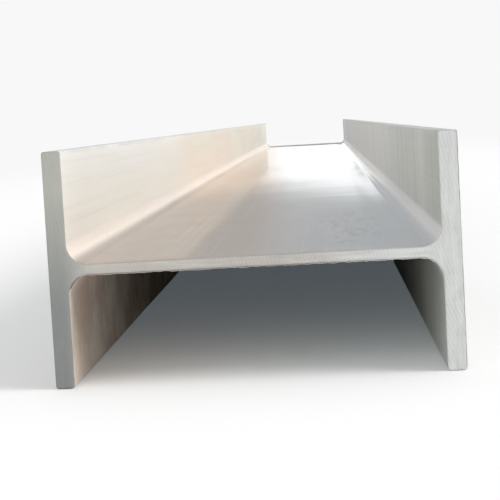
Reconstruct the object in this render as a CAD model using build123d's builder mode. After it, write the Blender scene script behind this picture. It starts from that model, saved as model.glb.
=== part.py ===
from build123d import *

import os

# A hot-rolled wide-flange beam (H-section) with parallel flanges, sawn to length at a mill.
#
# The beam lies the way it is stacked: its web is level, its two flanges stand upright, and it
# rests on their lower toes.  X runs across the section from flange to flange, Y runs along the
# beam, and Z points up.  The origin is on the resting plane, under the middle of the beam.
#
# All sizes are in millimetres.

# Section, as the rolls leave it
section_depth = 354.0  # over the outer faces of the two flanges
flange_width = 205.0  # from toe to toe of one flange
flange_thickness = 16.8
web_thickness = 9.4
root_radius = 18.0  # hollow corner between web and flange
toe_radius = 2.5  # slight rounding of the flange edges

# Length, as the saw leaves it
beam_length = 5200.0

# Places that follow from the sizes above
web_height = flange_width / 2
web_span = section_depth - 2 * flange_thickness
flange_offset = (section_depth - flange_thickness) / 2
section_plane = Plane(origin=(0, 0, web_height), x_dir=(1, 0, 0), z_dir=(0, -1, 0))

os.makedirs("parts", exist_ok=True)


# The beam is one piece of steel: one section, drawn out along its length.  On the section's
# own plane, local X runs from flange to flange and local Y runs up the flanges.
with BuildPart() as h_beam:
    with BuildSketch(section_plane) as section:
        Rectangle(web_span, web_thickness)
        with Locations((-flange_offset, 0), (flange_offset, 0)):
            Rectangle(flange_thickness, flange_width)

        # Web and flange meet in four inner corners, which the rolls leave hollow
        roots = section.vertices().filter_by_position(Axis.Y, -web_thickness, web_thickness)
        fillet(roots, root_radius)

        # The flange edges are the lowest and the highest corners of the section
        toes_by_height = section.vertices().group_by(Axis.Y)
        fillet(toes_by_height[0] + toes_by_height[-1], toe_radius)
    extrude(amount=beam_length / 2, both=True)

h_beam.part.label = "h_beam"
export_step(h_beam.part, "parts/h_beam.step")

print(f"section area {section.sketch.area:.0f} mm2")
print(f"beam volume {h_beam.part.volume / 1e6:.2f} litres")
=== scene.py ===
# %% [markdown]
# # A hot-rolled H-beam
# A rolled beam is one piece of steel with one outline from end to end, so its looks come from
# three things: a true outline with soft root corners, the skin that hot rolling leaves on it, and
# the two sawn ends.  This lesson models the beam once, in fine enough steps to make its faces a
# little uneven, adds the thin burr that the saw leaves, and then builds the finishes.
#
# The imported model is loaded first.  It is the fixed frame, and every size is taken from it.

# %% Load the frame
import math
import random

import bmesh
import bpy
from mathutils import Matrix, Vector


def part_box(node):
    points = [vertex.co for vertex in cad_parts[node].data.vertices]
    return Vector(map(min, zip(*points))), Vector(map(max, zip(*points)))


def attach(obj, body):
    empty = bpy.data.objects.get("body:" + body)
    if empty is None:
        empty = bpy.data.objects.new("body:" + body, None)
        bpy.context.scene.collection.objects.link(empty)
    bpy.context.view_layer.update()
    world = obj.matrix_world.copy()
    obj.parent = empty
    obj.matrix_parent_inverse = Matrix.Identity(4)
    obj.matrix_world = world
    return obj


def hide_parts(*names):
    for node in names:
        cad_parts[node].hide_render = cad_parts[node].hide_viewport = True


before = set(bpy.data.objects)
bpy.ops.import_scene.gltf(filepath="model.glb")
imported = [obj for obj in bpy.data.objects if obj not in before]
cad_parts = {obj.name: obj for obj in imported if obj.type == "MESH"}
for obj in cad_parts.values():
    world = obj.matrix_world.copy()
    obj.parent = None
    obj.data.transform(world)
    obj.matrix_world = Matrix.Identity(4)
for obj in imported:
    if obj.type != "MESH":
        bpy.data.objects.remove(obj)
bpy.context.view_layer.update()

# %% [markdown]
# ## The sizes
# The overall sizes are measured on the frame.  The wall thicknesses and the radii are those of
# the rolled section, and they are written here once.  X runs from flange to flange, Y along the
# beam and Z up.

# %% Sizes of the section
MM = 0.001

low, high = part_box("h_beam")
section_depth = high[0] - low[0]
beam_length = high[1] - low[1]
flange_width = high[2] - low[2]
near_end = low[1]
far_end = high[1]
web_height = (low[2] + high[2]) / 2

flange_thickness = 16.8 * MM
web_thickness = 9.4 * MM
root_radius = 18.0 * MM
toe_radius = 2.5 * MM

flange_outside = section_depth / 2
flange_inside = flange_outside - flange_thickness
print(f"section {section_depth / MM:.0f} x {flange_width / MM:.0f}, length {beam_length / MM:.0f} mm")

# %% [markdown]
# ## Helpers for edit mode
# Operators act on whatever is selected, as they do by hand.  The first helper selects the mesh
# elements at a place, and counts them so that each cell can say what it caught.  The second
# selects one object.

# %% Selecting by place
MODES = {"verts": "VERT", "edges": "EDGE", "faces": "FACE"}


def select_where(kind, test):
    """In edit mode, select only the elements of one kind that pass the test."""
    bpy.ops.mesh.select_mode(type=MODES[kind])
    bpy.ops.mesh.select_all(action="DESELECT")
    mesh = bpy.context.edit_object.data
    caught = 0
    edited = bmesh.from_edit_mesh(mesh)
    for element in getattr(edited, kind):
        if test(element):
            element.select_set(True)
            caught += 1
    edited.select_flush_mode()
    bmesh.update_edit_mesh(mesh)
    return caught


def select_only(piece):
    """In object mode, make one object the selected and active one."""
    bpy.ops.object.select_all(action="DESELECT")
    piece.select_set(True)
    bpy.context.view_layer.objects.active = piece


bpy.ops.object.select_all(action="DESELECT")

# %% [markdown]
# ## The outline
# The rolls squeeze a glowing bloom into an H.  By hand the same outline is quickest as a
# rectangle that is cut along the walls, with the two channels taken out.  A plane is added at
# the near end, standing upright, and bisected; the faces that are air are deleted, and what is
# left is joined into one face.

# %% A plane cut into an H
bpy.ops.mesh.primitive_plane_add(
    size=1, location=(0, near_end, web_height), rotation=(math.radians(90), 0, 0)
)
beam = bpy.context.object
beam.name = "rolled_beam"
beam.scale = (section_depth, flange_width, 1)
bpy.ops.object.transform_apply(location=True, rotation=True, scale=True)

bpy.ops.object.mode_set(mode="EDIT")
web_bottom = web_height - web_thickness / 2
web_top = web_height + web_thickness / 2
for place, normal in (
    ((-flange_inside, 0, 0), (1, 0, 0)),
    ((flange_inside, 0, 0), (1, 0, 0)),
    ((0, 0, web_bottom), (0, 0, 1)),
    ((0, 0, web_top), (0, 0, 1)),
):
    bpy.ops.mesh.select_all(action="SELECT")
    bpy.ops.mesh.bisect(plane_co=place, plane_no=normal)


def is_air(face):
    """True for a face in one of the two channels."""
    centre = face.calc_center_median()
    return abs(centre.x) < flange_inside and abs(centre.z - web_height) > web_thickness / 2


print("channels taken out:", select_where("faces", is_air))
bpy.ops.mesh.delete(type="FACE")
bpy.ops.mesh.select_all(action="SELECT")
bpy.ops.mesh.dissolve_faces()

left_over = select_where(
    "verts",
    lambda v: abs(v.co.x) > flange_inside + MM and abs(v.co.z - web_height) < web_thickness,
)
bpy.ops.mesh.dissolve_verts()
print("cut marks cleared from the flange backs:", left_over)

# %% [markdown]
# ## Root corners and toes
# Where web and flange meet, the rolls leave a hollow corner.  It is what makes a rolled beam
# look rolled rather than welded, and it catches a bright line of light along the whole beam.
# A vertex bevel turns each corner of the outline into a true arc.  The flange edges get the same
# with a much smaller radius.  The long straight stretches are then divided, so that the faces
# can be made slightly uneven later.

# %% Round the outline
ROOT_STEPS = 12
TOE_STEPS = 4
LONG_STRETCH = 30 * MM
STRETCH_CUTS = 7

roots = select_where("verts", lambda v: abs(v.co.z - web_height) < web_thickness)
bpy.ops.mesh.bevel(offset=root_radius, segments=ROOT_STEPS, affect="VERTICES", profile=0.5)

toe_level = flange_width / 2 - 0.1 * MM
toes = select_where("verts", lambda v: abs(v.co.z - web_height) > toe_level)
bpy.ops.mesh.bevel(offset=toe_radius, segments=TOE_STEPS, affect="VERTICES", profile=0.5)

straight = select_where("edges", lambda e: e.calc_length() > LONG_STRETCH)
bpy.ops.mesh.subdivide(number_cuts=STRETCH_CUTS)
print(f"{roots} root corners, {toes} toe corners, {straight} straight stretches")

# %% [markdown]
# ## Drawn out along its length
# Rolling is an extrusion in all but name, so one extrude makes the solid.  The long edges are
# then cut into centimetre steps, coarse first and fine second, because the operator makes at
# most a hundred cuts at a time.

# %% Extrude and divide
COARSE_CUTS = 64
FINE_CUTS = 7
LONG_EDGE = 50 * MM

bpy.ops.mesh.select_mode(type="FACE")
bpy.ops.mesh.select_all(action="SELECT")
bpy.ops.mesh.extrude_region_move(TRANSFORM_OT_translate={"value": (0, beam_length, 0)})

for cuts in (COARSE_CUTS, FINE_CUTS):
    select_where("edges", lambda e: abs(e.verts[0].co.y - e.verts[1].co.y) > LONG_EDGE)
    bpy.ops.mesh.subdivide(number_cuts=cuts)

bpy.ops.mesh.select_all(action="SELECT")
bpy.ops.mesh.normals_make_consistent(inside=False)
ring_step = beam_length / (COARSE_CUTS + 1) / (FINE_CUTS + 1)
print(f"a ring of edges every {ring_step / MM:.1f} mm")

# %% [markdown]
# ## The sawn edges, broken
# A sawn edge is never a knife edge: handling dulls it to about a millimetre, and that narrow
# slope is what shows as a bright outline round the cut.  Both end outlines are bevelled.  The
# end faces are then inset by a little, because a large flat face that shares its corners with a
# bevel would be shaded as if it were bent.

# %% Bevel the end outlines
EDGE_BREAK = 1.1 * MM
END_INSET = 0.6 * MM
IN_PLANE = 0.01 * MM


def at_an_end(vertex):
    """True for a vertex in the plane of either end."""
    return min(abs(vertex.co.y - near_end), abs(vertex.co.y - far_end)) < IN_PLANE


outline_edges = select_where("edges", lambda e: all(at_an_end(v) for v in e.verts))
bpy.ops.mesh.bevel(offset=EDGE_BREAK, segments=2, affect="EDGES", profile=0.5)

end_faces = select_where("faces", lambda f: abs(f.normal.y) > 0.99)
bpy.ops.mesh.inset(thickness=END_INSET)
bpy.ops.object.mode_set(mode="OBJECT")
print(f"{outline_edges} end edges broken, {end_faces} end faces, {len(beam.data.polygons)} faces")

# %% [markdown]
# ## Not quite flat
# No rolled face is flat to the eye: at a low angle its reflections wander.  A Displace modifier
# with a cloud texture gives that.  The texture is drawn out along the beam by an empty that it
# takes its coordinates from, and its middle level of 1 only ever sinks the surface, so that the
# beam never grows past its size.  The web is seen at a few degrees, where a slope of half a
# degree already bends a reflection, so the waves are long and very shallow.


# %% Sink the faces by fractions of a millimetre
def sink(piece, depth, size, drawn_out):
    """Sink a surface by up to depth, in clouds of this size, drawn out along the beam."""
    texture = bpy.data.textures.new("roll_waves", "CLOUDS")
    texture.noise_scale = size
    texture.noise_depth = 1
    bpy.ops.object.empty_add(location=(0, 0, 0))
    guide = bpy.context.object
    guide.scale = (1, drawn_out, 1)
    bpy.context.view_layer.update()
    select_only(piece)
    waves = piece.modifiers.new("waves", "DISPLACE")
    waves.texture = texture
    waves.texture_coords = "OBJECT"
    waves.texture_coords_object = guide
    waves.strength = depth
    waves.mid_level = 1.0
    bpy.ops.object.modifier_apply(modifier=waves.name)
    bpy.data.objects.remove(guide)
    print(f"sunk by up to {depth / MM:.2f} mm in clouds of {size / MM:.0f} mm")


sink(beam, depth=0.4 * MM, size=130 * MM, drawn_out=4)
sink(beam, depth=0.05 * MM, size=30 * MM, drawn_out=2)

# %% [markdown]
# ## Knocks on the toes
# The flange edges take the knocks whenever a beam is moved.  Each knock is one vertex pushed in
# with proportional editing, which takes its neighbours along.  The places come from a seeded
# random generator, so every run makes the same beam.

# %% Push in the knocks
KNOCKS = 56
KNOCK_SLANT = 0.6
# The least and the most, in millimetres
KNOCK_REACH = (9, 22)
KNOCK_DEPTH = (0.8, 2.4)

chance = random.Random(11)
bpy.ops.object.mode_set(mode="EDIT")
for _ in range(KNOCKS):
    side = chance.choice((-1, 1))
    height = chance.choice((0.0, flange_width))
    spot = Vector((side * flange_outside, chance.uniform(near_end, far_end), height))
    reach = chance.uniform(*KNOCK_REACH) * MM
    depth = chance.uniform(*KNOCK_DEPTH) * MM
    inwards = Vector((-side * KNOCK_SLANT, 0, 1 if height == 0 else -1)).normalized() * depth
    bpy.ops.mesh.select_mode(type="VERT")
    bpy.ops.mesh.select_all(action="DESELECT")
    edited = bmesh.from_edit_mesh(beam.data)
    nearest = min(edited.verts, key=lambda v: (v.co - spot).length_squared)
    nearest.select_set(True)
    bmesh.update_edit_mesh(beam.data)
    bpy.ops.transform.translate(
        value=inwards,
        use_proportional_edit=True,
        proportional_edit_falloff="SMOOTH",
        proportional_size=reach,
    )
bpy.ops.object.mode_set(mode="OBJECT")
print("knocks:", KNOCKS)

# %% [markdown]
# ## The saw's burr
# A saw leaves a thin ragged fin along the edges where its teeth leave the cut: at the near end on
# the undersides and the right flange's back, at the far end on the faces that look left or up.
# It could be a bump in a material, but then it would have no outline and no shadow.  Here it is
# made from the beam itself: the first ring of side faces is copied, shortened to a few
# millimetres, flared, roughened and given a wall of its own.  It overhangs the broken edge, so
# there is a dark groove behind it.  The fin is steel, so it is held inside the size of the beam.

# %% Sizes of the fin
# The fin's root and tip lie this far from the end of the beam
FIN_ROOT = 3.5 * MM
FIN_TIP = 0.2 * MM
FIN_WALL = 0.45 * MM
FIN_STEP = 4 * MM
FIN_ROOT_SUNK = 0.3 * MM
FIN_RAGGED = 0.6 * MM
FLOOR_CLEAR = 4 * MM
SAME_RING = 0.5 * MM

# What lies this near to an end belongs to it
AT_END = 2 * MM
# A face belongs to the cut if its normal leans further than this along the beam
CUT_FACING = 0.3
# A face looks left, right, up or down if its normal leans further than this that way
TURNED = 0.35


# %% Make one fin
def keep_in_box(piece):
    """Hold every vertex of a piece inside the frame's box."""
    for vertex in piece.data.vertices:
        vertex.co = [min(max(v, least), most) for v, least, most in zip(vertex.co, low, high)]


def crosswise(edge):
    """True for edges that run round the section, not along the beam."""
    return abs(edge.verts[0].co.y - edge.verts[1].co.y) < SAME_RING


def burr(name, end, leaves, flare, seed):
    """The fin at one end, on the side faces that pass the test leaves."""
    inward = 1 if end == near_end else -1
    select_only(beam)
    bpy.ops.object.mode_set(mode="EDIT")
    caught = select_where(
        "faces",
        lambda f: abs(f.calc_center_median().y - end) < ring_step
        and abs(f.normal.y) < CUT_FACING
        and f.calc_center_median().z > FLOOR_CLEAR
        and leaves(f),
    )
    bpy.ops.mesh.duplicate()
    bpy.ops.mesh.separate(type="SELECTED")
    bpy.ops.object.mode_set(mode="OBJECT")
    fin = next(o for o in bpy.context.selected_objects if o is not beam)
    fin.name = name
    select_only(fin)

    bpy.ops.object.mode_set(mode="EDIT")
    while select_where("edges", lambda e: crosswise(e) and e.calc_length() > FIN_STEP):
        bpy.ops.mesh.subdivide(number_cuts=1)
    select_where("verts", lambda v: abs(v.co.y - end) > ring_step / 2)
    bpy.ops.transform.translate(value=(0, -inward * (ring_step - FIN_ROOT), 0))
    bpy.ops.transform.shrink_fatten(value=-FIN_ROOT_SUNK)
    select_where("verts", lambda v: abs(v.co.y - end) < AT_END)
    bpy.ops.transform.translate(value=(0, -inward * (EDGE_BREAK - FIN_TIP), 0))
    bpy.ops.transform.shrink_fatten(value=flare)
    bpy.ops.transform.vertex_random(offset=FIN_RAGGED, uniform=0.3, normal=0.4, seed=seed)
    bpy.ops.object.mode_set(mode="OBJECT")

    wall = fin.modifiers.new("wall", "SOLIDIFY")
    wall.thickness = FIN_WALL
    wall.offset = -1
    bpy.ops.object.modifier_apply(modifier=wall.name)
    keep_in_box(fin)
    print(f"{name}: {caught} faces copied, {len(fin.data.polygons)} in the fin")
    return fin


near_burr = burr(
    "saw_burr_near",
    near_end,
    lambda f: f.normal.z < -TURNED or (f.normal.x > TURNED and f.calc_center_median().x > 0),
    flare=0.6 * MM,
    seed=5,
)
far_burr = burr(
    "saw_burr_far",
    far_end,
    lambda f: f.normal.x < -TURNED or f.normal.z > TURNED,
    flare=3.0 * MM,
    seed=9,
)

# %% [markdown]
# ## Helpers for materials
# Colours are written as they look on a screen, in hex, and turned to the linear values that the
# renderer works in.  One function adds a node, sets it up and links it.  Pattern sizes are real:
# a pattern of a given grain has a scale of one over that grain.


# %% Colours, nodes and grain
def colour(code):
    """A screen colour such as 9A9C9E as linear red, green, blue and alpha."""
    parts = [int(code[i:i + 2], 16) / 255 for i in (0, 2, 4)]
    linear = [p / 12.92 if p <= 0.04045 else ((p + 0.055) / 1.055) ** 2.4 for p in parts]
    return (*linear, 1.0)


def grain(size):
    """The scale of a pattern whose features are this large, in metres."""
    return 1 / size


def add(tree, kind, inputs=None, **settings):
    """Add one node: its settings, then its inputs, each a value or another node's output."""
    node = tree.nodes.new(kind)
    for name, value in settings.items():
        setattr(node, name, value)
    for name, value in (inputs or {}).items():
        socket = node.inputs[name]
        if isinstance(value, bpy.types.NodeSocket):
            tree.links.new(value, socket)
        else:
            socket.default_value = value
    return node


def new_material(name):
    """An empty material with a shader, and its node tree."""
    material = bpy.data.materials.new(name)
    material.use_nodes = True
    tree = material.node_tree
    tree.nodes.clear()
    shader = add(tree, "ShaderNodeBsdfPrincipled")
    add(tree, "ShaderNodeOutputMaterial", {"Surface": shader.outputs["BSDF"]})
    return material, tree, shader


# %% [markdown]
# ## Where a finish lies
# A finish is rarely even: rust settles where water stands, and slings rub the high places.  So
# each finish is told in layers.  A mask says where a layer lies, from 0 to 1.  It is worked out
# from a place on the beam, or from a cloudy pattern of a real size, and where several masks have
# to hold they are multiplied.


# %% Masks and patterns
def fade(tree, value, start, end):
    """0 where the value is at start, 1 where it is at end, and soft between."""
    inputs = {"Value": value, "From Min": start, "From Max": end}
    node = add(tree, "ShaderNodeMapRange", inputs, interpolation_type="SMOOTHSTEP")
    return node.outputs["Result"]


def product(tree, first, *others):
    """Masks multiplied, so 1 only where all of them are.  Plain numbers can be among them."""
    for other in others:
        first = add(tree, "ShaderNodeMath", {0: first, 1: other}, operation="MULTIPLY").outputs[0]
    return first


def elsewhere(tree, mask):
    """1 where the mask is 0, and 0 where it is 1."""
    return add(tree, "ShaderNodeMath", {0: 1.0, 1: mask}, operation="SUBTRACT").outputs[0]


def distance(tree, value, level):
    """How far a value is from a level, to either side."""
    apart = add(tree, "ShaderNodeMath", {0: value, 1: level}, operation="SUBTRACT").outputs[0]
    return add(tree, "ShaderNodeMath", {0: apart}, operation="ABSOLUTE").outputs[0]


def clouds(tree, place, size, detail=4.0, roughness=0.6, stretch=(1, 1, 1), shift=(0, 0, 0)):
    """A cloudy pattern whose features are this large, drawn out by stretch along X, Y and Z."""
    scale = [1 / s for s in stretch]
    moved = add(tree, "ShaderNodeMapping", {"Vector": place, "Location": shift, "Scale": scale})
    inputs = {"Vector": moved.outputs["Vector"], "Scale": grain(size)}
    inputs.update({"Detail": detail, "Roughness": roughness})
    return add(tree, "ShaderNodeTexNoise", inputs).outputs["Fac"]


# %% [markdown]
# ## Tones in layers
# A tone is laid over the tones before it, as far as its mask says.  Most layers are one screen
# colour at some strength, and some change step by step along the beam.


# %% Layers
def layer(tree, mask, under, over):
    """One tone over another, as far as the mask says."""
    node = add(tree, "ShaderNodeMix", {"Factor": mask, 6: under, 7: over}, data_type="RGBA")
    return node.outputs[2]


def tint(tree, tone, mask, strength, code):
    """A tone with a screen colour laid over it, where the mask says and this strongly."""
    return layer(tree, product(tree, mask, strength), tone, colour(code))


def change_along(tree, tone, from_end, changes):
    """A tone that changes along the beam.  A change is its start, its end and its colour."""
    for start, end, code in changes:
        tone = layer(tree, fade(tree, from_end, start, end), tone, colour(code))
    return tone


# %% [markdown]
# ## Hot-rolled mill scale
# Steel that is rolled red hot grows a thin skin of oxide, called mill scale.  It is grey, half
# metallic and smooth to the touch, with faint streaks along the rolling direction.  The web's
# upper side is rubbed smooth, and seen at a low angle it mirrors what lies behind it, as a wet
# road does.  A clear coat gives that, and it is held to that side, because the upright flanges
# are dull.

# %% Mill scale: where things are
rolled, tree, shader = new_material("hot_rolled_mill_scale")
place = add(tree, "ShaderNodeTexCoord").outputs["Object"]
split = add(tree, "ShaderNodeSeparateXYZ", {"Vector": place})
across, along, up = (split.outputs[axis] for axis in "XYZ")
from_near_end = add(tree, "ShaderNodeMath", {0: along, 1: near_end}, operation="SUBTRACT").outputs[0]
off_web = distance(tree, up, web_height)
off_middle = distance(tree, across, 0.0)

# Each of these masks is soft over a few millimetres
web_face = web_thickness / 2
between_flanges = fade(tree, off_middle, flange_inside + 1 * MM, flange_inside - 1 * MM)
near_web = fade(tree, off_web, web_face + 8 * MM, web_face + 0.3 * MM)
below_web = fade(tree, up, web_height + 3 * MM, web_height - 3 * MM)
web_faces = product(tree, between_flanges, near_web)
on_web = product(tree, web_faces, elsewhere(tree, below_web))
outside = fade(tree, off_middle, flange_inside + 4 * MM, flange_outside - 4 * MM)
inside = elsewhere(tree, outside)
near_root = fade(tree, off_web, web_face + 20 * MM, web_face + 13 * MM)
# Where the painted highlight along the root corners lies
painted_root_highlight = product(tree, near_root, inside, elsewhere(tree, web_faces))
at_toe = fade(tree, off_web, flange_width / 2 - 5 * MM, flange_width / 2 - 1 * MM)

# %% [markdown]
# ## The stained side
# The left flange and the left part of the web have weathered differently from the rest.  The
# stain on the web is widest at the near end, narrows along the beam and has a wavy edge.

# %% Mill scale: the stained side
STAIN_ENDS = 82 * MM
STAIN_FULL = 7 * MM
STAIN_NARROWS = 0.024
STAIN_WAVES = 50 * MM
LEFT_STARTS = 20 * MM
LEFT_FULL = -100 * MM

waves = clouds(tree, place, 110 * MM, detail=1.0, stretch=(1, 5, 1), shift=(0.5, 0.6, 0.2))
narrowing = {0: from_near_end, 1: STAIN_NARROWS, 2: across}
from_stain = add(tree, "ShaderNodeMath", narrowing, operation="MULTIPLY_ADD").outputs[0]
wavy = {0: waves, 1: STAIN_WAVES, 2: from_stain}
from_stain = add(tree, "ShaderNodeMath", wavy, operation="MULTIPLY_ADD").outputs[0]
stained_web = fade(tree, from_stain, STAIN_ENDS, STAIN_FULL)
left_side = layer(tree, on_web, fade(tree, across, LEFT_STARTS, LEFT_FULL), stained_web)

# %% [markdown]
# ## The skin's own tones
# The skin is darkest at the near end and changes slowly along the beam.  On the flanges the paler
# tone further along is painted light that lifts the right flange out of its own shade.  The flanges
# carry faint upright bands of two tints, and the web is bluer and paler towards its right side, where
# the strip grows paler along the beam as a painted reflection of the glare.  The root corners are the
# palest places, as a painted highlight along the root.

# %% Mill scale: the skin itself
# Where a tone starts to change and has changed, in metres from the near end, and to what
FLANGE_TONE_AND_LIGHT_CHANGES = ((0.02, 0.25, "D5DAD6"), (0.4, 1.3, "E0E4E6"), (1.3, 3.0, "DDE0E2"))
GLARE_STRIP_CHANGES = ((0.5, 1.5, "D0D5D9"),)
ROOT_HIGHLIGHT_CHANGES = ((0.7, 1.5, "FFFFFF"),)
STRIP_STARTS = 30 * MM
STRIP_FULL = 110 * MM

streaks = clouds(tree, place, 5 * MM, stretch=(1, 140, 1))
mottle = clouds(tree, place, 70 * MM, detail=7.0, roughness=0.65, stretch=(1, 2.5, 1))
worn = fade(tree, mottle, 0.35, 0.65)

flange_tone = layer(tree, worn, colour("B6BCB8"), colour("C2C8C4"))
# Painted light: the flange tone turns paler along the beam, which lifts the right flange out of its
# own shade
flange_tone = change_along(tree, flange_tone, from_near_end, FLANGE_TONE_AND_LIGHT_CHANGES)
flange_tone = tint(tree, flange_tone, worn, 0.1, "C0C3C1")
bands = clouds(tree, place, 45 * MM, detail=2.0, roughness=0.5, stretch=(1, 1, 12))
flange_tone = tint(tree, flange_tone, fade(tree, bands, 0.45, 0.62), 0.24, "A9A6AB")
flange_tone = tint(tree, flange_tone, fade(tree, bands, 0.55, 0.38), 0.24, "BCCABF")

web_tone = layer(tree, worn, colour("A9A5A4"), colour("B6B1AF"))
# Painted reflection: the strip on the web's right side turns paler along the beam, as the mirrored
# glare there
strip_and_glare_tone = change_along(tree, colour("B6B9BE"), from_near_end, GLARE_STRIP_CHANGES)
web_tone = layer(tree, fade(tree, across, STRIP_STARTS, STRIP_FULL), web_tone, strip_and_glare_tone)
# Painted highlight: the root corners get a pale tone that turns white along the beam
root_highlight_tone = change_along(tree, colour("EAEBEC"), from_near_end, ROOT_HIGHLIGHT_CHANGES)

skin = layer(tree, on_web, flange_tone, web_tone)
skin = layer(tree, product(tree, painted_root_highlight, 0.8), skin, root_highlight_tone)

# %% [markdown]
# ## Scale on the flange backs
# The backs cool in the open and keep the most scale.  It lies in patches of darker grey, drawn
# out along the beam, with a fine broken grain in them, and handling has left bright rub lines
# that run the same way.

# %% Mill scale: patches and rub lines on the flange backs
back_cloud = clouds(
    tree, place, 120 * MM, detail=8.0, roughness=0.66, stretch=(1, 3.5, 1), shift=(0.4, 0.9, 0.1)
)
back_tone = layer(tree, fade(tree, back_cloud, 0.42, 0.62), colour("C3C4C2"), colour("A4A6A6"))
flakes = clouds(tree, place, 4 * MM, detail=6.0, roughness=0.7, stretch=(1, 3, 1))
broken = product(tree, fade(tree, flakes, 0.45, 0.65), fade(tree, back_cloud, 0.35, 0.6))
back_tone = tint(tree, back_tone, broken, 0.3, "8D9193")
rubs = clouds(tree, place, 2.5 * MM, detail=2.0, stretch=(1, 80, 1), shift=(0.2, 0.1, 0.6))
rub_lines = product(tree, fade(tree, rubs, 0.62, 0.7), fade(tree, mottle, 0.45, 0.6))
back_tone = tint(tree, back_tone, rub_lines, 0.5, "DDDFDE")
skin = layer(tree, product(tree, outside, 0.9), skin, back_tone)

# %% [markdown]
# ## A bloom of rust
# Stored outdoors, mill scale takes on rust, and where it starts it is warm, pale and dusty.  Here
# it lies on the stained side.  On the web it goes from grey brown to pale cream along the beam: rust,
# with the pale cream also a painted reflection of the lit left flange.  On the flange it first grows
# paler away from the near end, which is painted light that evens out the shade of the channel, then
# turns warmer and then greyer along the beam, with patches of warmer and of paler dust, and its top
# edge is less warm.

# %% Rust: the tones of the bloom
# Where a tone starts to change and has changed, in metres from the near end, and to what
# The web's pale cream is rust and also a painted reflection of the lit left flange
WEB_RUST_AND_REFLECTION_CHANGES = ((0.85, 1.65, "DDC7B3"), (1.7, 3.6, "F0E3D4"))
# The flange's first change, paler away from the near end, is painted light against the channel's
# shade
FLANGE_RUST_AND_LIGHT_CHANGES = ((0.0, 0.35, "FAF3E9"), (0.8, 1.7, "F4E6D7"), (1.4, 4.5, "D9D6CE"))
# The near and the far part of the top edge: from where to where they fade in, up and along
NEAR_TOP_UP, NEAR_TOP_ALONG = (140 * MM, 200 * MM), (1.2, 0.6)
FAR_TOP_UP, FAR_TOP_ALONG = (150 * MM, 200 * MM), (0.9, 1.6)

# These two tones carry painted reflection and painted light as well as rust
web_rust_and_reflection = change_along(tree, colour("ADA096"), from_near_end, WEB_RUST_AND_REFLECTION_CHANGES)
flange_rust = change_along(tree, colour("EFE8DE"), from_near_end, FLANGE_RUST_AND_LIGHT_CHANGES)
near_top = product(tree, fade(tree, up, *NEAR_TOP_UP), fade(tree, from_near_end, *NEAR_TOP_ALONG))
flange_rust = tint(tree, flange_rust, near_top, 0.5, "F3F3F4")
far_top = product(tree, fade(tree, up, *FAR_TOP_UP), fade(tree, from_near_end, *FAR_TOP_ALONG))
flange_rust = tint(tree, flange_rust, far_top, 0.45, "E2E2D2")

dust = clouds(
    tree, place, 60 * MM, detail=1.5, roughness=0.5, stretch=(1, 9, 1), shift=(0.6, 0.2, 0.9)
)
flange_rust = tint(tree, flange_rust, fade(tree, dust, 0.5, 0.66), 0.35, "F6DFD0")
flange_rust = tint(tree, flange_rust, fade(tree, dust, 0.5, 0.34), 0.35, "F0EDDD")
# The painted highlight along the root corners also lies over the rust
pale_rust = layer(tree, painted_root_highlight, flange_rust, colour("F8ECE0"))
pale_rust = layer(tree, on_web, pale_rust, web_rust_and_reflection)

rust_cloud = clouds(tree, place, 240 * MM, detail=5.0, stretch=(1, 3, 1), shift=(0.3, 0.1, 0.7))
bloom = product(tree, left_side, inside, fade(tree, rust_cloud, 0.0, 0.3))
skin = layer(tree, product(tree, bloom, 0.96), skin, pale_rust)

# %% [markdown]
# ## Drips and damp
# Rust runs down the flange backs in drips.  At the foot of the backs and under the web, where the
# air stands, it is deeper and browner.

# %% Rust: drips and deep patches
DAMP_HEIGHT = 80 * MM

drips = clouds(tree, place, 14 * MM, detail=5.0, stretch=(1, 1, 7), shift=(0.7, 0.2, 0.3))
running = product(tree, outside, fade(tree, rust_cloud, 0.45, 0.65), fade(tree, drips, 0.48, 0.7))
skin = tint(tree, skin, running, 0.4, "A8937F")

damp = clouds(tree, place, 90 * MM, detail=8.0, roughness=0.7, shift=(0.9, 0.4, 0.2))
damp_patches = fade(tree, damp, 0.35, 0.62)
at_foot = product(tree, outside, fade(tree, up, DAMP_HEIGHT, 0.0), damp_patches)
skin = tint(tree, skin, at_foot, 0.5, "BFA68F")
under_web = product(tree, below_web, inside, left_side, damp_patches)
skin = tint(tree, skin, under_web, 0.6, "BD9C8A")

# The rolling direction shows in every layer, as streaks a shade darker and a shade lighter
skin = tint(tree, skin, fade(tree, streaks, 0.45, 0.8), 0.08, "8C8B88")
skin = tint(tree, skin, fade(tree, streaks, 0.5, 0.2), 0.1, "F2F1EE")

# %% [markdown]
# ## Freckles, scuffs and rubbed toes
# Small dark freckles are pits where the scale has burst.  Scuffs are short dark smears, and they
# lie in one strip of the web, right of its middle and close to the near end.  The toes are
# rubbed in handling, down to brighter steel.

# %% Freckles, scuffs and toes
# From where to where the scuffs fade in: at their left, right, start and end
SCUFFS_LEFT = (50 * MM, 80 * MM)
SCUFFS_RIGHT = (125 * MM, 100 * MM)
SCUFFS_START = (0.02, 0.15)
SCUFFS_END = (0.75, 0.5)

pits = clouds(tree, place, 5 * MM, detail=3.0, roughness=0.55, shift=(0.8, 0.3, 0.4))
pitted = clouds(tree, place, 130 * MM, detail=3.0, shift=(0.2, 0.8, 0.5))
freckles = product(tree, fade(tree, pits, 0.64, 0.72), fade(tree, pitted, 0.4, 0.6))
skin = tint(tree, skin, freckles, 0.3, "7C736B")

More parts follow.
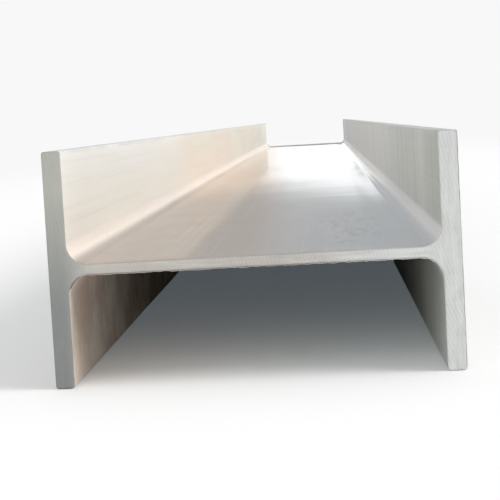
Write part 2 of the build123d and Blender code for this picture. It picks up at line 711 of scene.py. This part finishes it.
smears = clouds(tree, place, 10 * MM, detail=2.0, stretch=(1, 6, 1), shift=(0.6, 0.3, 0.8))
scuffs = product(
    tree,
    fade(tree, across, *SCUFFS_LEFT),
    fade(tree, across, *SCUFFS_RIGHT),
    fade(tree, from_near_end, *SCUFFS_START),
    fade(tree, from_near_end, *SCUFFS_END),
    fade(tree, smears, 0.45, 0.7),
    on_web,
)
skin = tint(tree, skin, scuffs, 0.5, "6E6C6B")

rubbed = product(tree, at_toe, fade(tree, mottle, 0.3, 0.6))
skin = tint(tree, skin, rubbed, 0.6, "D2D1CF")

# %% [markdown]
# ## The skin's shine
# Mottled scale is mottled in its gloss too, so the roughness follows the same pattern.  The coat
# lies on the web's upper side and is thinner where rust blooms.

# %% Mill scale: shine
COAT = 0.9
# A bloom this strong would leave no coat.  The real one is 1 at most and leaves about half.
NO_COAT = 1.9

tree.links.new(skin, shader.inputs["Base Color"])
shader.inputs["Metallic"].default_value = 0.25
inputs = {"Value": mottle, "From Min": 0.3, "From Max": 0.7, "To Min": 0.48, "To Max": 0.64}
mottled_gloss = add(tree, "ShaderNodeMapRange", inputs).outputs["Result"]
tree.links.new(mottled_gloss, shader.inputs["Roughness"])
coated = product(tree, on_web, fade(tree, bloom, NO_COAT, 0.0), COAT)
tree.links.new(coated, shader.inputs["Coat Weight"])
shader.inputs["Coat Roughness"].default_value = 0.055

# %% [markdown]
# ## Relief of the skin
# The grain of the rolls runs along the beam.  Its grooves tilt the surface sideways and hardly
# at all lengthwise, so a mirrored edge wanders from side to side while the line of the bright
# horizon stays crisp.  The coat has a normal of its own.  Without this one it would be flat, and
# blurred only by its own slight roughness.  Towards the right root the web also swells: a quite
# flat one would mirror the dull flange there, and the bright horizon wouldn't reach the root.

# %% Mill scale: relief of the coat
GROOVE_DEPTH = 0.04 * MM
ROOT_TANGENT = flange_inside - root_radius
SWELL_START = 110 * MM
SWELL_END = flange_inside - 11 * MM
SWELL_PER_M2 = 4.0
LEAN = 0.0072

inputs = {"Value": across, "From Min": SWELL_START, "From Max": SWELL_END}
inputs["To Max"] = SWELL_END - SWELL_START
into_swell = add(tree, "ShaderNodeMapRange", inputs).outputs["Result"]
swell = product(tree, into_swell, into_swell, SWELL_PER_M2)
grooves = clouds(tree, place, 4 * MM, detail=1.0, roughness=0.45, stretch=(1, 200, 1))
relief = {0: grooves, 1: GROOVE_DEPTH, 2: swell}
web_relief = add(tree, "ShaderNodeMath", relief, operation="MULTIPLY_ADD").outputs[0]
inputs = {"Height": web_relief, "Strength": 1.0, "Distance": 1.0}
rolled_grain = add(tree, "ShaderNodeBump", inputs).outputs["Normal"]

# The swell raises what the web mirrors there, and a trace of lean along the beam lowers it again
leans = product(
    tree,
    fade(tree, across, SWELL_START, ROOT_TANGENT),
    fade(tree, across, ROOT_TANGENT + 3 * MM, ROOT_TANGENT),
    LEAN,
)
lean = add(tree, "ShaderNodeCombineXYZ", {"Y": leans}).outputs[0]
leaning = add(tree, "ShaderNodeVectorMath", {0: rolled_grain, 1: lean}, operation="ADD").outputs[0]
web_normal = add(tree, "ShaderNodeVectorMath", {0: leaning}, operation="NORMALIZE").outputs[0]
tree.links.new(web_normal, shader.inputs["Coat Normal"])

# %% Mill scale: relief of the scale
FINE_GRAIN = 0.5

fine = clouds(tree, place, 2.5 * MM, detail=3.0)
relief = {0: fine, 1: FINE_GRAIN, 2: product(tree, broken, outside)}
rough_relief = add(tree, "ShaderNodeMath", relief, operation="MULTIPLY_ADD").outputs[0]
inputs = {"Height": rough_relief, "Strength": 0.3, "Distance": 0.3 * MM}
bump = add(tree, "ShaderNodeBump", inputs).outputs["Normal"]
tree.links.new(bump, shader.inputs["Normal"])
print(f"{rolled.name}: {len(tree.nodes)} nodes")

# %% [markdown]
# ## Sawn steel
# The ends are bare metal, cut by a disc nearly two metres across.  Fresh cuts are bright.  The
# left flange's end is darker, most of all towards its foot, and the right one is the brightest.  The
# saw drags the metal up the flanges and along the web.

# %% Sawn ends: tones and drag marks
DARKEST_BELOW = web_height - 45 * MM
LIGHTER_ABOVE = web_height + 80 * MM
# From where to where across the end each of these comes in
FRESH_PART = (-168 * MM, -140 * MM)
BRIGHTEST_PART = (20 * MM, 130 * MM)
BRIGHT_DRAG_PART = (-200 * MM, 20 * MM)

sawn, tree, shader = new_material("sawn_steel")
place = add(tree, "ShaderNodeTexCoord").outputs["Object"]
split = add(tree, "ShaderNodeSeparateXYZ", {"Vector": place})
across, up = split.outputs["X"], split.outputs["Z"]
darker_left_end = layer(tree, fade(tree, up, DARKEST_BELOW, LIGHTER_ABOVE), colour("7F8281"), colour("A9AAA3"))
bare = layer(tree, fade(tree, across, *FRESH_PART), darker_left_end, colour("B5B1AB"))
bare = layer(tree, fade(tree, across, *BRIGHTEST_PART), bare, colour("C9CBCA"))
patina = clouds(tree, place, 14 * MM, detail=6.0)
bare = tint(tree, bare, fade(tree, patina, 0.5, 0.75), 0.2, "97968F")

on_flange = fade(tree, distance(tree, across, 0.0), flange_inside - 10 * MM, flange_inside)
drag_up = clouds(tree, place, 3 * MM, detail=4.0, stretch=(1, 1, 14))
drag_across = clouds(tree, place, 3 * MM, detail=4.0, stretch=(14, 1, 1))
drag = layer(tree, on_flange, drag_across, drag_up)
bare = tint(tree, bare, fade(tree, drag, 0.5, 0.72), 0.22, "8C8C89")
bright_drag = product(tree, fade(tree, drag, 0.5, 0.3), fade(tree, across, *BRIGHT_DRAG_PART))
bare = tint(tree, bare, bright_drag, 0.25, "E3E5E5")

# %% [markdown]
# ## Tooth marks
# The disc's teeth leave a fine step of arcs about its centre.  Rings of a wave texture, centred
# where the disc's axle was, give them.  They are drawn 3 mm apart, coarser than real ones, so
# that they show at all.

# %% Sawn ends: tooth marks
SAW_AXLE = (0.9, 0.34)
TOOTH_STEP = 3 * MM
# A wave texture of scale 1 has this many radians to the metre
WAVE_RADIANS = 20

from_axle = add(
    tree,
    "ShaderNodeMapping",
    {"Vector": place, "Location": (-SAW_AXLE[0], 0, -SAW_AXLE[1]), "Scale": (1, 0, 1)},
).outputs["Vector"]
inputs = {"Vector": from_axle, "Scale": math.tau * grain(TOOTH_STEP) / WAVE_RADIANS}
inputs.update({"Distortion": 1.2, "Detail": 2.0, "Detail Scale": 0.12})
arcs = {"wave_type": "RINGS", "rings_direction": "SPHERICAL"}
marks = add(tree, "ShaderNodeTexWave", inputs, **arcs).outputs["Fac"]
uneven = fade(tree, clouds(tree, place, 30 * MM, shift=(0.1, 0.5, 0.9)), 0.35, 0.65)
tooth_marks = product(tree, marks, uneven)
bare = tint(tree, bare, tooth_marks, 0.16, "7C7D7A")
tree.links.new(bare, shader.inputs["Base Color"])
shader.inputs["Metallic"].default_value = 0.5
shader.inputs["Roughness"].default_value = 0.5
inputs = {"Height": tooth_marks, "Strength": 0.6, "Distance": 0.3 * MM}
bump = add(tree, "ShaderNodeBump", inputs).outputs["Normal"]
tree.links.new(bump, shader.inputs["Normal"])
print(f"{sawn.name}: {len(tree.nodes)} nodes")

# %% [markdown]
# ## Dressing the beam
# The beam carries both finishes.  The end faces and their broken edges are sawn, and all the
# other faces keep the rolled skin.  The fins are sawn steel.

# %% Give each face its finish
beam.data.materials.append(rolled)
beam.data.materials.append(sawn)
for face in beam.data.polygons:
    to_end = min(face.center.y - near_end, far_end - face.center.y)
    is_cut = to_end < AT_END and abs(face.normal.y) > CUT_FACING
    face.material_index = 1 if is_cut else 0
select_only(beam)
bpy.ops.object.shade_smooth_by_angle(angle=math.radians(50))
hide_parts("h_beam")

for fin in (near_burr, far_burr):
    fin.data.materials.clear()
    fin.data.materials.append(sawn)
for piece in (beam, near_burr, far_burr):
    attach(piece, "root")
print("sawn faces on the beam:", sum(face.material_index for face in beam.data.polygons))

# %% [markdown]
# ## Floor
# The floor is a large pale plane.  A real one would end in a horizon line behind the beam.  Here
# its material turns by distance into the same even white as the backdrop, but only as the camera
# sees it, so the light that it gives the beam stays that of a floor.  The camera also sees a
# little haze in its shadows, which keeps the deep channel slate and not black.

# %% Floor
FLOOR_SIZE = 160
FLOOR_DROP = 0.2 * MM
HAZE = 0.1
# The white closes in on a long shape like the beam's, between these distances from its middle
LONG_SHAPE = (1, 0.18, 0)
WHITE_STARTS, WHITE_FULL = 0.5, 2.2

bpy.ops.object.select_all(action="DESELECT")
bpy.ops.mesh.primitive_plane_add(size=FLOOR_SIZE, location=(0, 0, -FLOOR_DROP))
floor = bpy.context.object
floor.name = "floor"
pale, tree, shader = new_material("pale_floor")
shader.inputs["Base Color"].default_value = colour("F7F6F4")
shader.inputs["Roughness"].default_value = 0.9

place = add(tree, "ShaderNodeTexCoord").outputs["Object"]
shaped = add(tree, "ShaderNodeMapping", {"Vector": place, "Scale": LONG_SHAPE}).outputs["Vector"]
away = add(tree, "ShaderNodeVectorMath", {0: shaped}, operation="LENGTH").outputs["Value"]
seen = add(tree, "ShaderNodeLightPath").outputs["Is Camera Ray"]
haze = add(tree, "ShaderNodeEmission", {"Color": colour("DCEBF5")}).outputs[0]
white = add(tree, "ShaderNodeEmission", {"Color": colour("F8F8F8")}).outputs[0]
inputs = {0: product(tree, seen, HAZE), 1: shader.outputs[0], 2: haze}
hazy = add(tree, "ShaderNodeMixShader", inputs).outputs[0]
inputs = {0: product(tree, seen, fade(tree, away, WHITE_STARTS, WHITE_FULL)), 1: hazy, 2: white}
endless = add(tree, "ShaderNodeMixShader", inputs).outputs[0]
surface = next(n for n in tree.nodes if n.type == "OUTPUT_MATERIAL").inputs["Surface"]
tree.links.new(endless, surface)
floor.data.materials.append(pale)
print(f"floor {FLOOR_SIZE} m across")

# %% [markdown]
# ## World
# The world does three jobs.  The camera sees an even near-white backdrop.  The beam is lit by an
# even sky.  What the smooth web mirrors is a third one: a bright band low on the horizon under a
# greyer sky, and the band's edge is the sharp line across the web.

# %% World
# Linear values, because the band is brighter than white
BAND = (1.32, 1.34, 1.35, 1)
SKY_LOW = (0.46, 0.48, 0.49, 1)
SKY_HIGH = (0.42, 0.41, 0.4, 1)
# Heights are the upward part of a direction.  The band's upper edge climbs to the right.
BAND_EDGE = (0.0446, 0.0486)
BAND_CLIMB = 0.15
SKY_CHANGE = (0.07, 0.18)
SKY_STRENGTH = 0.8

world = bpy.data.worlds.new("studio")
bpy.context.scene.world = world
world.use_nodes = True
tree = world.node_tree
tree.nodes.clear()
ray = add(tree, "ShaderNodeLightPath")
direction = add(tree, "ShaderNodeTexCoord").outputs["Generated"]
split = add(tree, "ShaderNodeSeparateXYZ", {"Vector": direction})
upward = split.outputs["Z"]
sky_grey = layer(tree, fade(tree, upward, *SKY_CHANGE), SKY_LOW, SKY_HIGH)
climbing = {0: split.outputs["X"], 1: -BAND_CLIMB, 2: upward}
from_edge = add(tree, "ShaderNodeMath", climbing, operation="MULTIPLY_ADD").outputs[0]
sky_mirrored = layer(tree, fade(tree, from_edge, *BAND_EDGE), BAND, sky_grey)

even_sky = {"Color": colour("F7F7F8"), "Strength": SKY_STRENGTH}
lit = add(tree, "ShaderNodeBackground", even_sky).outputs[0]
mirrored = add(tree, "ShaderNodeBackground", {"Color": sky_mirrored}).outputs[0]
backdrop = add(tree, "ShaderNodeBackground", {"Color": colour("F8F8F8")}).outputs[0]
inputs = {0: ray.outputs["Is Glossy Ray"], 1: lit, 2: mirrored}
glossy_or_lit = add(tree, "ShaderNodeMixShader", inputs).outputs[0]
inputs = {0: ray.outputs["Is Camera Ray"], 1: glossy_or_lit, 2: backdrop}
seen_or_not = add(tree, "ShaderNodeMixShader", inputs).outputs[0]
add(tree, "ShaderNodeOutputWorld", {"Surface": seen_or_not})
print(f"{world.name}: {len(tree.nodes)} nodes")

# %% [markdown]
# ## Two soft suns
# The main light comes from the right and not very high, so the left flange and the root corners
# are the bright places and the right flange lies in its own shade.  A weaker one from the front
# lights the sawn end.  It stands low, so that its light reaches into the channel under the web.
# Both are wide, which makes their shadows soft.

# %% Suns
# A sun shines alike from any distance, so this says only where its lamp stands
SUN_AWAY = 4


def soft_sun(name, towards, energy, spread):
    """A sun lamp that stands in the direction towards, with a spread in degrees."""
    bpy.ops.object.light_add(type="SUN", location=Vector(towards) * SUN_AWAY)
    sun = bpy.context.object
    sun.name = name
    sun.data.energy = energy
    sun.data.angle = math.radians(spread)
    sun.rotation_euler = Vector(towards).to_track_quat("Z", "Y").to_euler()
    print(f"{name}: {energy} at {spread} degrees wide")


soft_sun("key_from_right", (1.0, -0.25, 0.75), energy=1.8, spread=35)
soft_sun("fill_from_front", (-0.5, -1.0, 0.12), energy=1.05, spread=80)

# %% [markdown]
# ## Camera
# The camera stands close before the near end, a little right of the middle and just above the
# flanges, and it is tipped by a few degrees.  The turn is built from a viewing direction and a
# roll about it, which is easier to reason about than three angles.

# %% Camera
CAMERA_RIGHT = 62 * MM
CAMERA_BACK = 1336 * MM
CAMERA_HEIGHT = 222 * MM
PITCH = math.radians(4.7)
YAW = math.radians(2.78)
ROLL = math.radians(-3.19)
FRAME_PIXELS = 500
FOCAL_PIXELS = 1576

bpy.ops.object.camera_add(location=(CAMERA_RIGHT, near_end - CAMERA_BACK, CAMERA_HEIGHT))
camera = bpy.context.object
camera.name = "camera"
camera.data.sensor_width = 36
camera.data.lens = FOCAL_PIXELS / FRAME_PIXELS * camera.data.sensor_width
camera.data.clip_start = 0.05
camera.data.clip_end = 500
camera.rotation_mode = "XYZ"
level = math.cos(PITCH)
ahead = Vector((-math.sin(YAW) * level, math.cos(YAW) * level, -math.sin(PITCH)))
camera.rotation_euler = ahead.to_track_quat("-Z", "Y").to_euler()
camera.rotation_euler.rotate_axis("Z", ROLL)
bpy.context.scene.camera = camera
bpy.context.scene.view_settings.view_transform = "Standard"
print(f"lens {camera.data.lens:.1f} mm")
